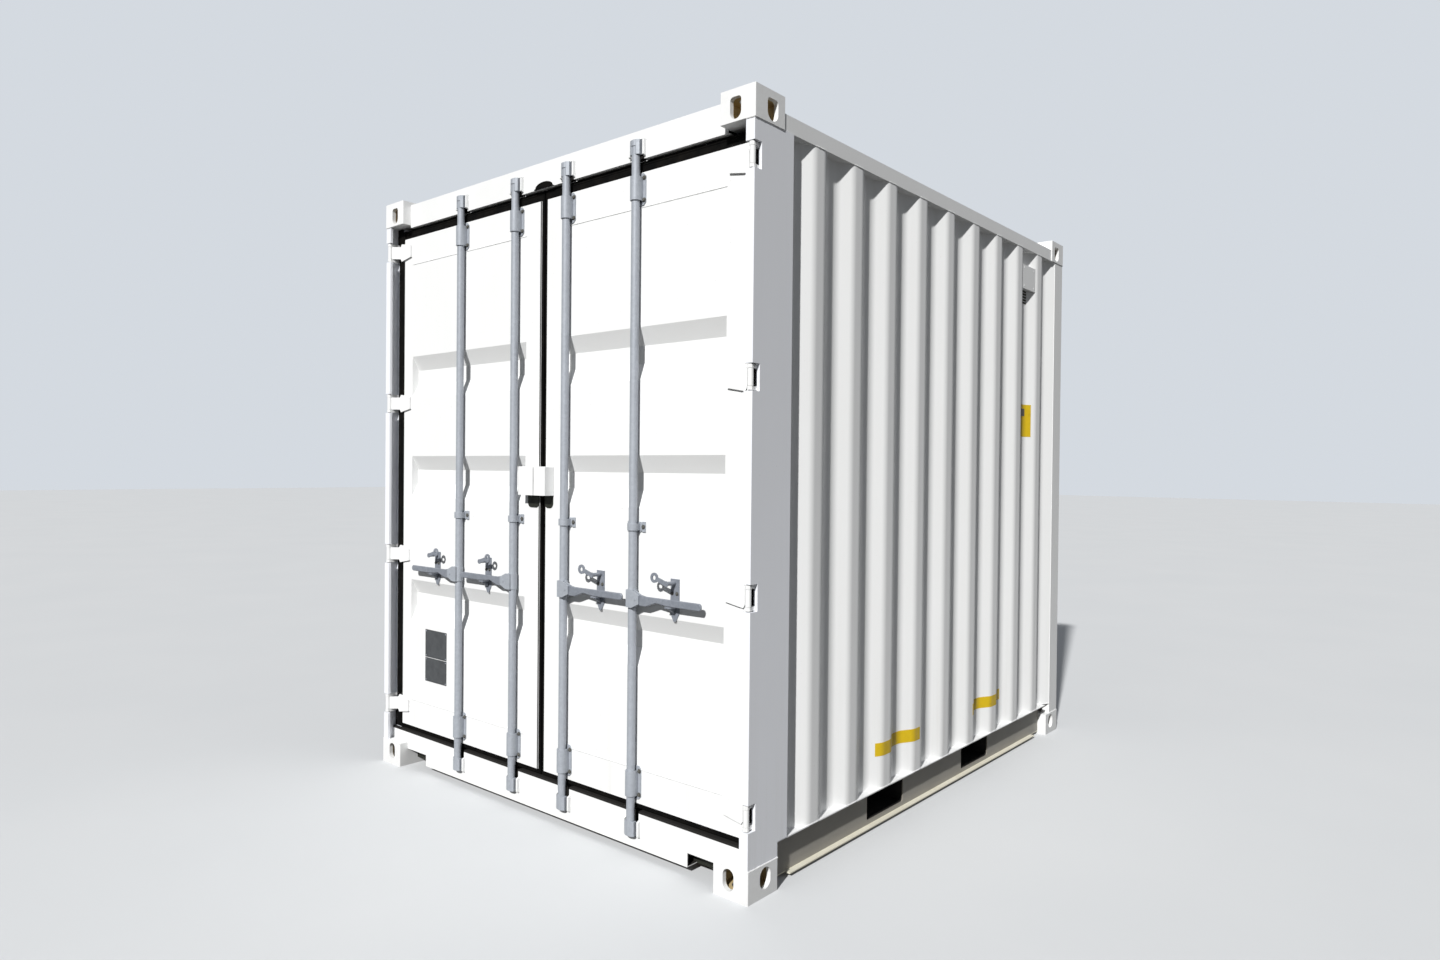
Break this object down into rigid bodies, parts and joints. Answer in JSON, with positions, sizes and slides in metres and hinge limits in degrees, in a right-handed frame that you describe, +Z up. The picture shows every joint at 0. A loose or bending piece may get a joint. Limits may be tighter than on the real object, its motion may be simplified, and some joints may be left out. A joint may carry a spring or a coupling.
{
  "type": "shipping container",
  "caption": "Short high shipping container of folded steel sheet on a steel frame, with corner castings, fork pockets and hinged cargo doors closed by locking bars.",
  "frame": {"origin": "centre of the footprint on the plane of the bottom corner castings", "axes": "+X across the doors, +Y along the length away from the doors, +Z up"},
  "size_m": [2.438, 2.991, 2.896],
  "materials": {
    "white_paint": "semi-gloss white paint",
    "galvanised": "dull galvanised steel",
    "gasket_rubber": "matte black",
    "plywood": "varnished plywood",
    "blank_plate": "dark blank plate"
  },
  "bodies": {
    "box": {"corner_castings_top": "white_paint", "corner_castings_bottom": "white_paint", "door_post_right": "white_paint", "door_post_left": "white_paint", "end_posts": "white_paint", "top_side_rails": "white_paint", "bottom_side_rails": "white_paint", "side_panel_right": "white_paint", "side_panel_left": "white_paint", "end_panel": "white_paint", "end_top_rail": "white_paint", "end_bottom_rail": "white_paint", "door_header": "white_paint", "door_sill": "white_paint", "header_keepers": "white_paint", "sill_keepers": "white_paint", "roof_panel": "white_paint", "cross_members": "white_paint", "fork_pockets": "white_paint", "floor_boards": "plywood", "side_vents": "white_paint", "hinge_lugs": "white_paint"},
    "door_right": {"door_frame_right": "white_paint", "door_panel_right": "white_paint", "door_gasket_right": "gasket_rubber", "hinge_blades_right": "white_paint", "bar_brackets_right": "galvanised", "handle_rests_right": "galvanised", "lock_box_right": "white_paint"},
    "bar_right_inner": {"locking_bar_right_inner": "galvanised"},
    "handle_right_inner": {"bar_handle_right_inner": "galvanised"},
    "catch_right_inner": {"handle_catch_right_inner": "galvanised"},
    "bar_right_outer": {"locking_bar_right_outer": "galvanised"},
    "handle_right_outer": {"bar_handle_right_outer": "galvanised"},
    "catch_right_outer": {"handle_catch_right_outer": "galvanised"},
    "door_left": {"door_frame_left": "white_paint", "door_panel_left": "white_paint", "door_gasket_left": "gasket_rubber", "hinge_blades_left": "white_paint", "bar_brackets_left": "galvanised", "handle_rests_left": "galvanised", "lock_box_left": "white_paint", "data_plate": "blank_plate"},
    "bar_left_inner": {"locking_bar_left_inner": "galvanised"},
    "handle_left_inner": {"bar_handle_left_inner": "galvanised"},
    "catch_left_inner": {"handle_catch_left_inner": "galvanised"},
    "bar_left_outer": {"locking_bar_left_outer": "galvanised"},
    "handle_left_outer": {"bar_handle_left_outer": "galvanised"},
    "catch_left_outer": {"handle_catch_left_outer": "galvanised"}
  },
  "joints": [
    {"name": "door_right_hinge", "type": "hinge", "parent": "box", "child": "door_right", "pos_m": [1.198, -1.481, 0], "axis": [0, 0, 1], "range_deg": [0, 265]},
    {"name": "bar_right_inner_turn", "type": "hinge", "parent": "door_right", "child": "bar_right_inner", "pos_m": [0.175, -1.462, 0], "axis": [0, 0, 1], "range_deg": [-110, 0]},
    {"name": "handle_right_inner_lift", "type": "hinge", "parent": "bar_right_inner", "child": "handle_right_inner", "pos_m": [0.213, -1.478, 1.027], "axis": [0, 1, 0], "range_deg": [-15, 0]},
    {"name": "catch_right_inner_swing", "type": "hinge", "parent": "door_right", "child": "catch_right_inner", "pos_m": [0.387, -1.4918, 1.103], "axis": [0, -1, 0], "range_deg": [0, 107]},
    {"name": "bar_right_outer_turn", "type": "hinge", "parent": "door_right", "child": "bar_right_outer", "pos_m": [0.595, -1.462, 0], "axis": [0, 0, 1], "range_deg": [-110, 0]},
    {"name": "handle_right_outer_lift", "type": "hinge", "parent": "bar_right_outer", "child": "handle_right_outer", "pos_m": [0.633, -1.478, 1.027], "axis": [0, 1, 0], "range_deg": [-15, 0]},
    {"name": "catch_right_outer_swing", "type": "hinge", "parent": "door_right", "child": "catch_right_outer", "pos_m": [0.807, -1.4918, 1.103], "axis": [0, -1, 0], "range_deg": [0, 107]},
    {"name": "door_left_hinge", "type": "hinge", "parent": "box", "child": "door_left", "pos_m": [-1.198, -1.481, 0], "axis": [0, 0, -1], "range_deg": [0, 265]},
    {"name": "bar_left_inner_turn", "type": "hinge", "parent": "door_left", "child": "bar_left_inner", "pos_m": [-0.175, -1.462, 0], "axis": [0, 0, -1], "range_deg": [-110, 0]},
    {"name": "handle_left_inner_lift", "type": "hinge", "parent": "bar_left_inner", "child": "handle_left_inner", "pos_m": [-0.213, -1.478, 1.027], "axis": [0, -1, 0], "range_deg": [-15, 0]},
    {"name": "catch_left_inner_swing", "type": "hinge", "parent": "door_left", "child": "catch_left_inner", "pos_m": [-0.387, -1.4918, 1.103], "axis": [0, 1, 0], "range_deg": [0, 107]},
    {"name": "bar_left_outer_turn", "type": "hinge", "parent": "door_left", "child": "bar_left_outer", "pos_m": [-0.595, -1.462, 0], "axis": [0, 0, -1], "range_deg": [-110, 0]},
    {"name": "handle_left_outer_lift", "type": "hinge", "parent": "bar_left_outer", "child": "handle_left_outer", "pos_m": [-0.633, -1.478, 1.027], "axis": [0, -1, 0], "range_deg": [-15, 0]},
    {"name": "catch_left_outer_swing", "type": "hinge", "parent": "door_left", "child": "catch_left_outer", "pos_m": [-0.807, -1.4918, 1.103], "axis": [0, 1, 0], "range_deg": [0, 107]}
  ]
}
